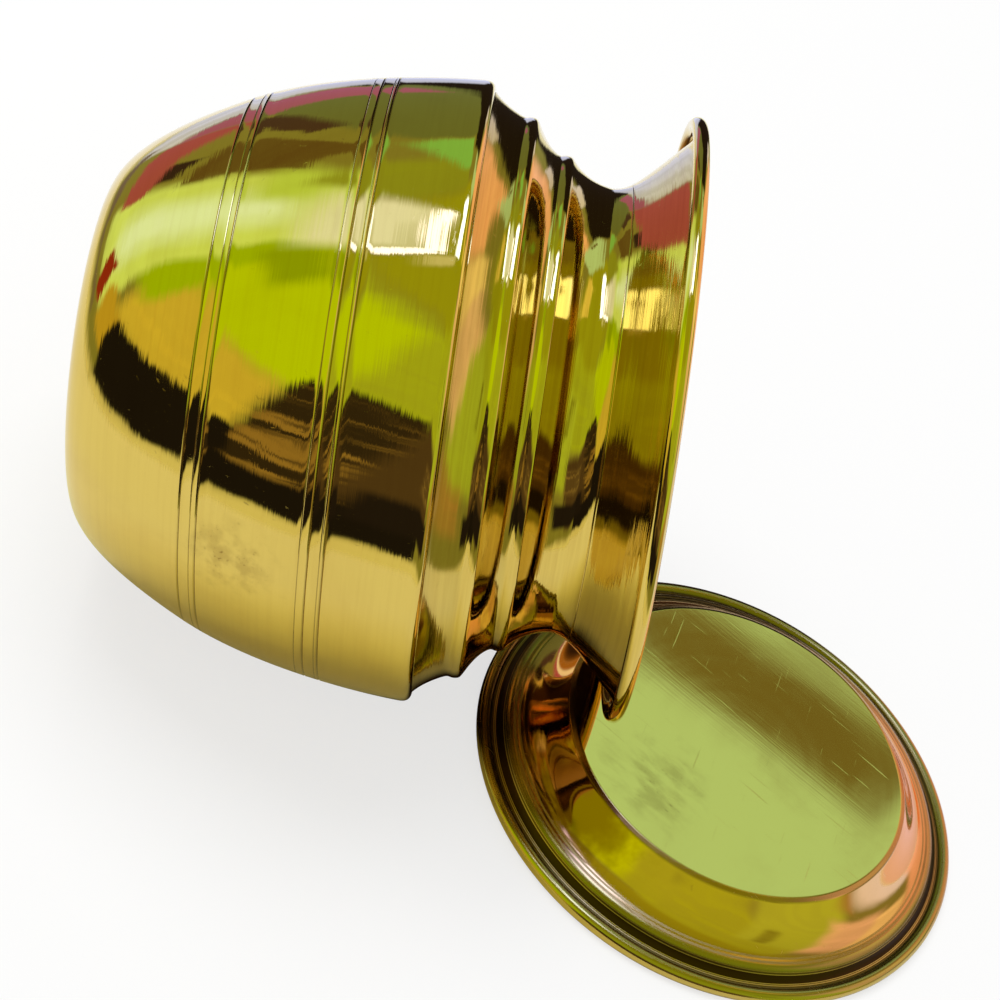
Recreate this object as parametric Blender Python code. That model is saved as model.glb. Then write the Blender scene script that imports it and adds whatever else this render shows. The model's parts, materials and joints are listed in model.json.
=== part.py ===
"""Turned brass water pot lying on its belly, with its lip over a loose dish lid.

Metres, +Z up. The table is z = 0, and the pot's mouth points towards +X and a little up.
"""
import math

import bmesh
import bpy
from mathutils import Vector

SIDES = 48
SHEET = 0.0014
SEAM_GAP = 0.0003
SHARP_ANGLE = math.radians(35)

# Polished brass of each piece: its colour, and how far the polish scatters light.
BOWL_BRASS = ((0.72, 0.52, 0.13), 0.16)
NECK_BRASS = ((0.74, 0.53, 0.14), 0.14)
LID_BRASS = ((0.70, 0.54, 0.18), 0.20)

# Pot: heights run along its axis, from the base face to the top of the lip.
POT_HEIGHT = 0.0932
BASE_FLAT_RADIUS = 0.0252
BASE_ROUNDING = 0.0035
KNEE_HEIGHT = 0.0205
KNEE_RADIUS = 0.0432
KNEE_SLOPE = 0.48
KNEE_REACH_DOWN = 0.0206
KNEE_REACH_UP = 0.0158
SHOULDER_HEIGHT = 0.0589
SHOULDER_RADIUS = 0.0512
SHOULDER_REACH = 0.0012
BOWL_STEPS = 8
BOWL_INNER_STEPS = 6

ENGRAVED_HEIGHTS = (0.0209, 0.0237, 0.0413, 0.0437)
ENGRAVED_WIDTH = 0.0007
ENGRAVED_DEPTH = 0.0003

# Neck: two short cylindrical steps, a throat and a flare, joined by coves.
SKIRT_RADIUS = 0.0491
SKIRT_SHEET = 0.0010
SKIRT_DEPTH = 0.0050
STEP_RADII = (0.0461, 0.0408)
STEP_STARTS = (0.0642, 0.0707)
STEP_ENDS = (0.0664, 0.0728)
COVE_1_PULL = (0.0476, 0.0607)
COVE_2_PULL = (0.0418, 0.0684)
COVE_3_PULL = (0.0374, 0.0752)
THROAT_RADIUS = 0.0368
THROAT_HEIGHT = 0.0798
FLARE_START_PULL = (0.0371, 0.0827)
FLARE_END_PULL = (0.0380, 0.0836)
FLARE_END = (0.0456, 0.0910)
LIP_RADIUS = 0.0501
LIP_BEAD = 0.0013
LIP_JOIN_ANGLE = math.radians(160)
LIP_INNER_ANGLE = math.radians(130)
LIP_CENTRE = (LIP_RADIUS - LIP_BEAD, POT_HEIGHT - LIP_BEAD)
LIP_STEPS = 7
NECK_STEPS = (4, 7)
NECK_INNER_STEPS = (3, 5)

# Lid: heights run up from the table, because it lies with its bead down.
LID_SHEET = 0.0011
LID_HEIGHT = 0.0115
LID_RADIUS = 0.0455
LID_BEAD = 0.00135
LID_FLAT_RADIUS = 0.0314
LID_CREASE = (0.0320, 0.0112)
LID_SIDE_PULLS = ((0.0346, 0.0080), (0.0368, 0.0048))
LID_SHELF = (0.0400, 0.0044)
LID_SHELF_EDGE = (0.0409, 0.0040)
LID_GROOVE = (0.0420, 0.0022)
LID_BEAD_JOIN_ANGLE = math.radians(145)
LID_BEAD_CURL_ANGLE = math.radians(215)
LID_BEAD_CENTRE = (LID_RADIUS - LID_BEAD, LID_BEAD)
LID_BEAD_STEPS = 9
LID_STEPS = (6, 4)
LID_INNER_STEPS = (4, 3)

# Where the pieces lie on the table.
POT_TILT = math.radians(14)
MOUTH_PLACE = (0.0074, 0.0061)
LID_PLACE = (0.0439, -0.0119)


def bezier(points, steps):
    """Points along a Bezier curve of any degree, both ends included."""
    curve = []
    for step in range(steps + 1):
        share = step / steps
        row = [Vector(point) for point in points]
        while len(row) > 1:
            row = [a.lerp(b, share) for a, b in zip(row, row[1:])]
        curve.append(row[0])
    return curve


def on_circle(centre, radius, angle):
    """The point of a circle at one angle."""
    return Vector(centre) + radius * Vector((math.cos(angle), math.sin(angle)))


def arc(centre, radius, start, end, steps):
    """Points round a circle, both ends included."""
    return [on_circle(centre, radius, start + (end - start) * step / steps) for step in range(steps + 1)]


def inset(points, depth):
    """The same outline moved sideways into the metal, to the left of its direction."""
    moved = []
    for index, point in enumerate(points):
        before = points[max(index - 1, 0)]
        after = points[min(index + 1, len(points) - 1)]
        along = (after - before).normalized()
        moved.append(point + depth * Vector((-along.y, along.x)))
    return moved


def engrave(outline, heights):
    """Cut a V into an outline that rises from point to point, once at each height."""
    cut = list(outline)
    for height in heights:
        above = next(index for index, point in enumerate(cut) if point.y > height)
        low, high = cut[above - 1], cut[above]
        along = (high - low).normalized()
        middle = low.lerp(high, (height - low.y) / (high.y - low.y))
        side = along * ENGRAVED_WIDTH / 2
        bottom = middle + ENGRAVED_DEPTH * Vector((-along.y, along.x))
        cut[above:above] = [middle - side, bottom, middle + side]
    return cut


def turn(name, outline, ring, finish):
    """Spin an outline of (radius, height) points round Z into one closed solid.

    A ring's outline closes on itself. Any other outline starts and ends on a flat disc.
    """
    shape = bmesh.new()
    points = [shape.verts.new((point.x, 0, point.y)) for point in outline]
    edges = [shape.edges.new(pair) for pair in zip(points, points[1:])]
    if ring:
        edges.append(shape.edges.new((points[-1], points[0])))
    bmesh.ops.spin(shape, geom=points + edges, axis=(0, 0, 1), cent=(0, 0, 0),
                   angle=math.tau, steps=SIDES, use_merge=True)
    bmesh.ops.holes_fill(shape, edges=[edge for edge in shape.edges if edge.is_boundary], sides=0)
    bmesh.ops.recalc_face_normals(shape, faces=shape.faces)
    mesh = bpy.data.meshes.new(name)
    shape.to_mesh(mesh)
    shape.free()
    mesh.shade_smooth()
    mesh.set_sharp_from_angle(angle=SHARP_ANGLE)
    mesh.materials.append(brass(name, *finish))
    piece = bpy.data.objects.new(name, mesh)
    bpy.context.collection.objects.link(piece)
    return piece


def brass(name, colour, roughness):
    """Polished metal of one colour."""
    material = bpy.data.materials.new(name)
    material.use_nodes = True
    shader = material.node_tree.nodes["Principled BSDF"]
    shader.inputs["Base Color"].default_value = (*colour, 1)
    shader.inputs["Metallic"].default_value = 1
    shader.inputs["Roughness"].default_value = roughness
    return material


def bowl_outside(steps):
    """The barrel from the base flat, round the knee and up to the shoulder edge."""
    base = Vector((BASE_FLAT_RADIUS, 0))
    knee = Vector((KNEE_RADIUS, KNEE_HEIGHT))
    rise = Vector((KNEE_SLOPE, 1)).normalized()
    shoulder = Vector((SHOULDER_RADIUS, SHOULDER_HEIGHT))
    bottom = bezier((base, base + Vector((BASE_ROUNDING, 0)), knee - KNEE_REACH_DOWN * rise, knee), steps)
    side = bezier((knee, knee + KNEE_REACH_UP * rise, shoulder - Vector((0, SHOULDER_REACH)), shoulder),
                  steps)
    return bottom + side[1:]


def bowl():
    """One sheet: the engraved outside, the brazing edge and the inside."""
    outside = engrave(bowl_outside(BOWL_STEPS), ENGRAVED_HEIGHTS)
    inside = inset(bowl_outside(BOWL_INNER_STEPS), SHEET)
    inside[0].y = SHEET
    inside[-1].y = SHOULDER_HEIGHT
    return turn("pot_bowl", outside + inside[::-1], False, BOWL_BRASS)


def neck_outside(cove_steps, flare_steps):
    """Coves, steps, throat and straight flare, from the shoulder edge up to the rolled lip."""
    shoulder = Vector((SHOULDER_RADIUS, SHOULDER_HEIGHT + SEAM_GAP))
    starts = [Vector(step) for step in zip(STEP_RADII, STEP_STARTS)]
    ends = [Vector(step) for step in zip(STEP_RADII, STEP_ENDS)]
    throat = Vector((THROAT_RADIUS, THROAT_HEIGHT))
    outline = bezier((shoulder, COVE_1_PULL, starts[0]), cove_steps)
    outline += bezier((ends[0], COVE_2_PULL, starts[1]), cove_steps)
    outline += bezier((ends[1], COVE_3_PULL, throat), cove_steps)
    outline += bezier((throat, FLARE_START_PULL, FLARE_END_PULL, FLARE_END), flare_steps)[1:]
    return outline + [on_circle(LIP_CENTRE, LIP_BEAD, LIP_JOIN_ANGLE)]


def neck():
    """One sheet: a skirt inside the bowl, the stepped outside, the lip and the inside."""
    skirt_foot = SHOULDER_HEIGHT - SKIRT_DEPTH
    skirt = [Vector((SKIRT_RADIUS, skirt_foot)), Vector((SKIRT_RADIUS, SHOULDER_HEIGHT + SEAM_GAP))]
    lip = arc(LIP_CENTRE, LIP_BEAD, LIP_JOIN_ANGLE - math.tau, LIP_INNER_ANGLE, LIP_STEPS)
    inside = inset(neck_outside(*NECK_INNER_STEPS), SHEET)[1:-1]
    skirt_inside = SKIRT_RADIUS - SKIRT_SHEET
    inside[0].x = min(inside[0].x, skirt_inside)
    skirt_end = [Vector((skirt_inside, SHOULDER_HEIGHT - SEAM_GAP)), Vector((skirt_inside, skirt_foot))]
    outline = skirt + neck_outside(*NECK_STEPS)[:-1] + lip + inside[::-1] + skirt_end
    return turn("pot_neck", outline, True, NECK_BRASS)


def lid_outside(side_steps, groove_steps):
    """Crease, sloping side, shelf and groove, from the flat centre out to the bead."""
    flat_edge = Vector((LID_FLAT_RADIUS, LID_HEIGHT))
    bead_join = on_circle(LID_BEAD_CENTRE, LID_BEAD, LID_BEAD_JOIN_ANGLE)
    outline = [flat_edge] + bezier((LID_CREASE, *LID_SIDE_PULLS, LID_SHELF), side_steps)
    return outline + bezier((LID_SHELF_EDGE, LID_GROOVE, bead_join), groove_steps)


def lid():
    """One sheet: the flat-topped outside, the bead that lies on the table and the inside."""
    outside = lid_outside(*LID_STEPS)
    bead = arc(LID_BEAD_CENTRE, LID_BEAD, LID_BEAD_JOIN_ANGLE, LID_BEAD_CURL_ANGLE - math.tau,
               LID_BEAD_STEPS)
    inside = inset(lid_outside(*LID_INNER_STEPS)[::-1], LID_SHEET)[1:]
    inside[-1].y = LID_HEIGHT - LID_SHEET
    return turn("lid", outside[:-1] + bead + inside, False, LID_BRASS)


def resting_height(outline):
    """How far the base centre sits above the table when the tilted belly touches it."""
    return max(point.x * math.cos(POT_TILT) - point.y * math.sin(POT_TILT) for point in outline)


for old in list(bpy.data.objects):
    bpy.data.objects.remove(old, do_unlink=True)

pot_axis = bpy.data.objects.new("pot_axis", None)
bpy.context.collection.objects.link(pot_axis)
pot_axis.location = (MOUTH_PLACE[0] - POT_HEIGHT * math.cos(POT_TILT), MOUTH_PLACE[1],
                     resting_height(bowl_outside(BOWL_STEPS)))
pot_axis.rotation_euler = (0, math.pi / 2 - POT_TILT, 0)
for shell in (bowl(), neck()):
    shell.parent = pot_axis
lid().location = (*LID_PLACE, 0)
bpy.context.view_layer.update()

for piece in bpy.data.objects:
    if piece.type == "MESH":
        corners = [piece.matrix_world @ vertex.co for vertex in piece.data.vertices]
        low = [round(min(corner[axis] for corner in corners), 5) for axis in range(3)]
        high = [round(max(corner[axis] for corner in corners), 5) for axis in range(3)]
        print(piece.name, "from", low, "to", high)
print("base centre", [round(value, 5) for value in pot_axis.location])
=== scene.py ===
# %% [markdown]
# # A brass water pot and its lid
# The pot is spun from sheet brass, polished on a lathe, and lies on its belly with its lip over
# the loose lid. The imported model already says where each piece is, so this lesson only dresses
# it: fine shapes first, then the metal, then the light that the polish mirrors.

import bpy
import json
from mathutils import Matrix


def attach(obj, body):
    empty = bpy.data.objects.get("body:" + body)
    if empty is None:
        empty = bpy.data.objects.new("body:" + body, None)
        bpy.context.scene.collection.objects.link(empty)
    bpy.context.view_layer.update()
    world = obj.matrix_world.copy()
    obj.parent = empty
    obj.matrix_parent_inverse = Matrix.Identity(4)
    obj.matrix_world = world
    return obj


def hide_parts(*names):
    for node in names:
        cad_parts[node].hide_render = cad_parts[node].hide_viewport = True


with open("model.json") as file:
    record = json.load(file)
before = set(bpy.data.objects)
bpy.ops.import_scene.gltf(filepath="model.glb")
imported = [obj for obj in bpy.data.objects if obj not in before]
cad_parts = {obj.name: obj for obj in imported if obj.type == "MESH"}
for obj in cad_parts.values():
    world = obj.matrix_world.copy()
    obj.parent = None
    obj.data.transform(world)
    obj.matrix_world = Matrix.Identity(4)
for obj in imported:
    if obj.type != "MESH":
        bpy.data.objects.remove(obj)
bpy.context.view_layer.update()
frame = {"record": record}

# %% [markdown]
# The record keeps two flat faces as mounts: the pot's base and the lid's flat centre. Each gives
# a point and a direction, which is all that a turned piece needs to be set down in its place.
# The lathe's own Z axis is turned onto that direction, so no number is fitted by eye.

# %% Find where the turned pieces lie
import json
import math

import bmesh
import bpy
from mathutils import Matrix, Vector, noise

mounts = {mount["name"]: mount for mount in frame["record"]["mounts"]}


def lathe_place(foot, direction):
    """The matrix that takes the lathe's Z axis to a direction, and its origin to a point."""
    turn = Vector((0, 0, 1)).rotation_difference(Vector(direction)).to_matrix().to_4x4()
    return Matrix.Translation(foot) @ turn


base = mounts["base_face"]
pot_place = lathe_place(base["pos_m"], [-part for part in base["axis"]])
lid_centre = mounts["lid_flat"]["pos_m"]
lid_place = Matrix.Translation((lid_centre[0], lid_centre[1], 0))
print("pot axis", [round(v, 3) for v in pot_place.col[2][:3]], "lid at", lid_centre[:2])

# %% [markdown]
# The camera stands where the photograph was taken from, fitted to the pot's rings and the lid.
# A long lens keeps the mouth and the base nearly the same size. The picture leans because the
# camera was rolled, so the turn is given as three angles instead of a point to look at.

# %% Set up the camera
CAMERA_PLACE = (-0.08652, -0.30315, 0.32099)
CAMERA_TURN = [math.radians(angle) for angle in (44.407, -20.059, 5.514)]
CAMERA_LENS = 90.549
NEAREST_SEEN = 0.01

camera = bpy.data.objects.new("camera", bpy.data.cameras.new("camera"))
camera.location = CAMERA_PLACE
camera.rotation_euler = CAMERA_TURN
camera.data.lens = CAMERA_LENS
camera.data.clip_start = NEAREST_SEEN
bpy.context.scene.collection.objects.link(camera)
bpy.context.scene.camera = camera
print("camera", CAMERA_PLACE, "lens", CAMERA_LENS)

# %% [markdown]
# A turned shape is one outline spun round an axis. The outlines here are Bezier curves and arcs,
# drawn as points of radius, height and a third number for the material. A curve object could hold
# them too, but in code the sizes stay readable. The third number has to follow the outline: it is 0
# where the wheel polished, up to 1 where painted shade darkens a cut, a corner, a crease or the lid's
# rim, and -1 on the inside, which was never polished.

# %% Draw curves
def bezier(points, steps):
    """Points along a Bezier curve of any degree, both ends included."""
    curve = []
    for step in range(steps + 1):
        row = [Vector((*point, 0)[:3]) for point in points]
        while len(row) > 1:
            row = [a.lerp(b, step / steps) for a, b in zip(row, row[1:])]
        curve.append(row[0])
    return curve


def on_circle(centre, radius, angle):
    """The point of a circle at one angle."""
    return Vector((centre[0] + radius * math.cos(angle), centre[1] + radius * math.sin(angle), 0))


def arc(centre, radius, start, end, steps):
    """Points round a circle, both ends included."""
    angles = [start + (end - start) * step / steps for step in range(steps + 1)]
    return [on_circle(centre, radius, angle) for angle in angles]


print("curve tools ready: bezier, point on a circle, arc")

# %% [markdown]
# Sheet metal has an inside that follows its outside, and a polishing wheel leaves no edge sharp.
# Solidify and bevel modifiers could do this to the spun mesh. Working on the outline is simpler: it
# is moved, rubbed down and eased once, and the spin repeats the result all the way round.

# %% Finish an outline's edges
UNPOLISHED = -1
CORNER = math.radians(22)
EASING = 0.00025
EASING_SHARE = 0.45
EASING_STEPS = 3


def inset(points, depth):
    """The same outline moved sideways into the metal, to the left of its direction.

    The third number, painted shade, counts in the direction too. So where it changes along the
    outline the move is far shorter than the depth, which leaves thin walls in two coves and under the
    lid's side.
    """
    moved = []
    for index, point in enumerate(points):
        along = points[min(index + 1, len(points) - 1)] - points[max(index - 1, 0)]
        along.normalize()
        inner = point + depth * Vector((-along.y, along.x, 0))
        moved.append(Vector((inner.x, inner.y, UNPOLISHED)))
    return moved


def soften(points, passes):
    """Rub down an outline's ridges: each point moves toward its neighbours, the ends stay."""
    for _ in range(passes):
        rubbed = [(a + 2 * b + c) / 4 for a, b, c in zip(points, points[1:], points[2:])]
        points = [points[0], *rubbed, points[-1]]
    return points


def ease_corners(points):
    """Round each sharp corner of an outline, as a polishing wheel does."""
    eased = [points[0]]
    for before, point, after in zip(points, points[1:], points[2:]):
        into, out = point - before, after - point
        if into.length * out.length == 0 or into.angle(out) < CORNER:
            eased.append(point)
            continue
        start = point - into.normalized() * min(EASING, into.length * EASING_SHARE)
        end = point + out.normalized() * min(EASING, out.length * EASING_SHARE)
        eased += bezier((start, point, end), EASING_STEPS)
    return eased + [points[-1]]


print("edge tools ready, corners over", round(math.degrees(CORNER)), "degrees are eased")

# %% [markdown]
# The engraved rings are cut with a pointed tool while the barrel spins. The photograph shows two
# groups: a pair of firm lines with a hairline between them, and higher up two firm lines, each
# with a hairline beside it. They are real cuts in the mesh, because a line that is only painted
# vanishes as soon as the light moves. A cut's lips stand up a little, where the tool pushed metal.

# %% Cut engraved rings into an outline
BY_RADIUS = 0
BY_HEIGHT = 1
# width and depth of a cut
FIRM_CUT = (0.00042, 0.00016)
HAIRLINE = (0.00024, 0.00006)
# height of each ring on the barrel
RINGS = ((0.0209, FIRM_CUT), (0.02275, HAIRLINE), (0.0237, FIRM_CUT),
         (0.03996, HAIRLINE), (0.0413, FIRM_CUT), (0.04316, HAIRLINE), (0.0437, FIRM_CUT))
# shares of the width and of the depth, and the painted shade there, darkest at the cut's bottom
CUT_SHAPE = ((-0.75, 0, 0), (-0.5, -0.12, 0), (-0.2, 0.75, 0.35), (0, 1, 0.6),
             (0.2, 0.75, 0.35), (0.5, -0.12, 0), (0.75, 0, 0))


def engrave(outline, axis, rings):
    """Cut rounded Vs into an outline that grows along its radius or its height."""
    cut = list(outline)
    for mark, (width, depth) in rings:
        above = next(index for index, point in enumerate(cut) if point[axis] > mark)
        low, high = cut[above - 1], cut[above]
        along = (high - low).normalized()
        inward = Vector((-along.y, along.x, 0))
        middle = low.lerp(high, (mark - low[axis]) / (high[axis] - low[axis]))
        before = [point for point in cut[:above] if (point - middle).length > width]
        after = [point for point in cut[above:] if (point - middle).length > width]
        cut = before + [middle + along * width * side + inward * depth * down + Vector((0, 0, dark))
                        for side, down, dark in CUT_SHAPE] + after
    return cut


print(len(RINGS), "rings to cut")

# %% [markdown]
# The lathe itself is bmesh's spin: it sweeps the outline round Z and joins the last copy to the
# first. Every vertex then keeps two notes for the material, its painted shade and bare mark and its
# place on the lathe, so that turning marks run round the piece however it lies. Hand-finished sheet
# is never a perfect circle, and a very small slow noise lets the reflections swim as they do in the
# real pot.
# The noise moves metal inward only, about a tenth of a millimetre, to stay within the CAD box.

# %% Make the lathe
SIDES = 192
WAVER = 0.00003
WAVER_SCALE = 70
WAVER_INWARD = 3.4


def spin_outline(outline, ring):
    """Spin an outline into a closed bmesh whose vertices know their painted shade, bare mark and
    place.
    """
    shape = bmesh.new()
    shade_and_bare = shape.verts.layers.float.new("shade_and_bare")
    lathe = shape.verts.layers.float_vector.new("on_lathe")
    points = []
    for radius, height, worn in outline:
        vertex = shape.verts.new((radius, 0, height))
        vertex[shade_and_bare] = worn
        points.append(vertex)
    edges = [shape.edges.new(pair) for pair in zip(points, points[1:])]
    if ring:
        edges.append(shape.edges.new((points[-1], points[0])))
    bmesh.ops.spin(shape, geom=points + edges, axis=(0, 0, 1), cent=(0, 0, 0),
                   angle=math.tau, steps=SIDES, use_merge=True)
    bmesh.ops.holes_fill(shape, edges=[edge for edge in shape.edges if edge.is_boundary], sides=0)
    bmesh.ops.recalc_face_normals(shape, faces=shape.faces)
    for vertex in shape.verts:
        vertex[lathe] = vertex.co
        swell = noise.noise(vertex.co * WAVER_SCALE) - WAVER_INWARD
        outward = Vector((vertex.co.x, vertex.co.y, 0)).normalized()
        vertex.co += outward * swell * WAVER
    return shape


print("lathe ready with", SIDES, "sides")

# %% [markdown]
# A spun shape becomes a piece of the part when it lies in its place and rides on its body. It is
# smooth all over except at true edges, and it stands in for the plain CAD node of the same piece.
# The frame's own calls do this, because a piece that is only placed stays behind when a joint moves.

# %% Hand a turned piece over to its body
SHARP = math.radians(38)


def turn_on_lathe(name, outline, place, ring):
    """Make one closed mesh from an outline, in its place in the frame."""
    shape = spin_outline(ease_corners(outline), ring)
    shape.transform(place)
    mesh = bpy.data.meshes.new(name)
    shape.to_mesh(mesh)
    shape.free()
    mesh.shade_smooth()
    mesh.set_sharp_from_angle(angle=SHARP)
    piece = bpy.data.objects.new(name, mesh)
    bpy.context.scene.collection.objects.link(piece)
    print(name, len(mesh.vertices), "vertices", len(mesh.polygons), "faces")
    return piece


def hand_over(piece, body, node):
    """Let a piece ride on its body, in place of the CAD node that it stands for."""
    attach(piece, body)
    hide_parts(node)


print("edges over", round(math.degrees(SHARP)), "degrees stay sharp")

# %% [markdown]
# The barrel is a flat base, a soft knee and a side that swells to the shoulder, whose edge is
# rounded by polishing. Its curve is the same as in the CAD source, with many more points,
# because a mirror finish shows every flat. The inside is the same curve moved in by the sheet's
# thickness, and a narrow rim joins the two.

# %% Turn the barrel
SHEET = 0.0014
BASE_FLAT_RADIUS = 0.0252
BASE_ROUNDING = 0.0035
KNEE = Vector((0.0432, 0.0205, 0))
KNEE_RISE = Vector((0.48, 1, 0)).normalized()
KNEE_REACH_DOWN = 0.0206
KNEE_REACH_UP = 0.0158
SHOULDER = Vector((0.0512, 0.0589, 0))
SHOULDER_REACH = Vector((0, 0.0012, 0))
SHOULDER_ROUNDING = 0.0017
SHOULDER_STEPS = 9
RIM_WIDTH = 0.0002
DISC_CENTRE = 0.0006
BASE_STEPS = 5
INNER_FLAT_STEPS = 4
BARREL_STEPS = 40
BARREL_INSIDE_STEPS = 14


def barrel_side(steps):
    """The barrel's outside, from the base flat to the shoulder edge."""
    foot = Vector((BASE_FLAT_RADIUS, 0, 0))
    toe = foot + Vector((BASE_ROUNDING, 0, 0))
    bottom = bezier((foot, toe, KNEE - KNEE_REACH_DOWN * KNEE_RISE, KNEE), steps)
    edge = SHOULDER - Vector((0, SHOULDER_ROUNDING, 0))
    side = bezier((KNEE, KNEE + KNEE_REACH_UP * KNEE_RISE, edge - SHOULDER_REACH, edge), steps)[1:]
    top = SHOULDER - Vector((SHOULDER_ROUNDING, 0, 0))
    return bottom + side + bezier((edge, SHOULDER, top), SHOULDER_STEPS)[1:]


def disc(radius, height, steps, shade_and_bare=0):
    """A flat from near the middle out to a radius, that end left out."""
    reach = radius - DISC_CENTRE
    return [Vector((DISC_CENTRE + reach * step / steps, height, shade_and_bare)) for step in range(steps)]


barrel_inside = inset(barrel_side(BARREL_INSIDE_STEPS)[:-SHOULDER_STEPS], SHEET)
barrel_inside[0].y = SHEET
barrel_inside[-1].xy = (SHOULDER.x - SHOULDER_ROUNDING - RIM_WIDTH, SHOULDER.y)
barrel_floor = disc(barrel_inside[0].x, SHEET, INNER_FLAT_STEPS, UNPOLISHED)
barrel_outline = disc(BASE_FLAT_RADIUS, 0, BASE_STEPS)
barrel_outline += engrave(barrel_side(BARREL_STEPS), BY_HEIGHT, RINGS)
barrel_outline += barrel_inside[::-1] + barrel_floor[::-1]
pot_bowl = turn_on_lathe("bowl", barrel_outline, pot_place, ring=False)
hand_over(pot_bowl, "pot", "pot_bowl")

# %% [markdown]
# The neck is a second spinning, brazed to the shoulder. Three coves step inward with two narrow
# bands between them, then the throat opens into a wide flare that ends in a rolled lip. The ridges
# are rubbed down by polishing. Painted shade darkens the corners of the bands, the seam at the
# shoulder and the join of flare and lip. A hairline marks where the throat turns into the cone.

# %% Draw the neck's coves and flare
SEAM = 0.00006
BANDS = (((0.0461, 0.0642), (0.0461, 0.0664)), ((0.0408, 0.0707), (0.0408, 0.0728)))
BAND_WIDTH = 0.00215
BAND_CROWN = 0.0005
COVE_PULLS = ((0.0476, 0.0607), (0.0418, 0.0684), (0.0374, 0.0752))
THROAT = (0.0368, 0.0798)
FLARE_PULLS = ((0.0371, 0.0827), (0.0380, 0.0836))
FLARE_END = (0.0456, 0.0910)
LIP_RADIUS = 0.0501
LIP_BEAD = 0.0013
POT_HEIGHT = 0.0932
LIP_CENTRE = (LIP_RADIUS - LIP_BEAD, POT_HEIGHT - LIP_BEAD)
LIP_JOIN = math.radians(160)
# painted shade where the flare meets the lip, and in the bands' corners and the shoulder seam
LIP_JOIN_SHADE = 0.9
CORNER_SHADE = 0.2


def coves(steps):
    """Coves and bands, from the shoulder edge up to the throat."""
    shoulder = (SHOULDER.x - SHOULDER_ROUNDING, SHOULDER.y + SEAM, CORNER_SHADE)
    starts = [shoulder] + [(*end, 0) for _, end in BANDS]
    ends = [(*start, CORNER_SHADE) for start, _ in BANDS] + [(*THROAT, 0)]
    outline = []
    for start, pull, end in zip(starts, COVE_PULLS, ends):
        outline += bezier((start, pull, end), steps)
        if end[:2] != THROAT:
            band_top = (end[0], end[1] + BAND_WIDTH)
            crown = (end[0] + BAND_CROWN, end[1] + BAND_WIDTH / 2)
            outline += bezier((end[:2], crown, band_top), steps)[1:-1]
    return outline


def flare(steps):
    """The widening mouth, from above the throat up to the rolled lip."""
    cone = bezier((THROAT, *FLARE_PULLS, FLARE_END), steps)[1:]
    return cone + [on_circle(LIP_CENTRE, LIP_BEAD, LIP_JOIN) + Vector((0, 0, LIP_JOIN_SHADE))]


print(len(BANDS), "bands between", len(COVE_PULLS), "coves")

# %% [markdown]
# The neck's outline is one closed loop. It goes up the outside, round the lip and down the inside,
# and ends in a short skirt that laps inside the barrel, where the two sheets are brazed. The inside
# needs fewer points, because nothing polished is seen there.

# %% Turn the neck
SKIRT_RADIUS = 0.0491
SKIRT_SHEET = 0.0010
SKIRT_DEPTH = 0.0050
LIP_INNER = math.radians(130)
THROAT_RINGS = ((0.0379, HAIRLINE),)
RUBBED_DOWN = 5
COVE_STEPS = 18
FLARE_STEPS = 40
COVE_INSIDE_STEPS = 8
FLARE_INSIDE_STEPS = 20
LIP_STEPS = 22

neck_outside = soften(coves(COVE_STEPS), RUBBED_DOWN)
neck_outside += engrave(flare(FLARE_STEPS)[:-1], BY_RADIUS, THROAT_RINGS)
lip = arc(LIP_CENTRE, LIP_BEAD, LIP_JOIN - math.tau, LIP_INNER, LIP_STEPS)
skirt_foot = SHOULDER.y - SKIRT_DEPTH
skirt_inner = SKIRT_RADIUS - SKIRT_SHEET
neck_inside = inset(coves(COVE_INSIDE_STEPS) + flare(FLARE_INSIDE_STEPS), SHEET)[1:-1]
neck_inside[0].x = min(neck_inside[0].x, skirt_inner)
skirt = [Vector((SKIRT_RADIUS, skirt_foot, 0)), Vector((SKIRT_RADIUS, SHOULDER.y + SEAM, 0))]
skirt_back = [Vector((skirt_inner, SHOULDER.y - SEAM, 0)), Vector((skirt_inner, skirt_foot, 0))]
neck_outline = skirt + neck_outside + lip + neck_inside[::-1] + skirt_back
pot_neck = turn_on_lathe("neck", neck_outline, pot_place, ring=True)
hand_over(pot_neck, "pot", "pot_neck")

# %% [markdown]
# The lid is a shallow dish lying face down. From its flat centre it drops over a sharp crease and
# a hollow side to a narrow shelf, then a groove, and ends in a thick rolled bead. Painted shade
# darkens the crease, the shelf, the inner half of the bead, and most of all the groove.

# %% Turn the lid
LID_SHEET = 0.0011
LID_HEIGHT = 0.0115
LID_RADIUS = 0.0455
LID_BEAD = 0.00135
LID_FLAT_RADIUS = 0.0314
LID_CREASE = (0.0320, 0.0112)
CREASE_WIDTH = 0.0004
# painted shade in the crease round the flat
CREASE_SHADE = 0.5
LID_SIDE_PULLS = ((0.0346, 0.0080), (0.0368, 0.0048))
# the third numbers of the shelf, its edge and the groove are painted shade
LID_SHELF = (0.0400, 0.0044, 0.45)
LID_SHELF_EDGE = (0.0409, 0.0040, 0.65)
LID_GROOVE = (0.0420, 0.0022, 1.8)
# painted shade on the bead's inner half, fading out after the first steps of its curl
LID_BEAD_SHADE = 0.75
LID_BEAD_CENTRE = (LID_RADIUS - LID_BEAD, LID_BEAD)
LID_BEAD_JOIN = math.radians(145)
LID_BEAD_CURL = math.radians(215)
LID_BEAD_STEPS = 26
LID_BEAD_SHADE_FADE = 18
LID_FLAT_STEPS = 9
# steps down the side, and steps through the groove
LID_TOP_STEPS = (28, 18)
LID_UNDER_STEPS = (12, 8)


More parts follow.
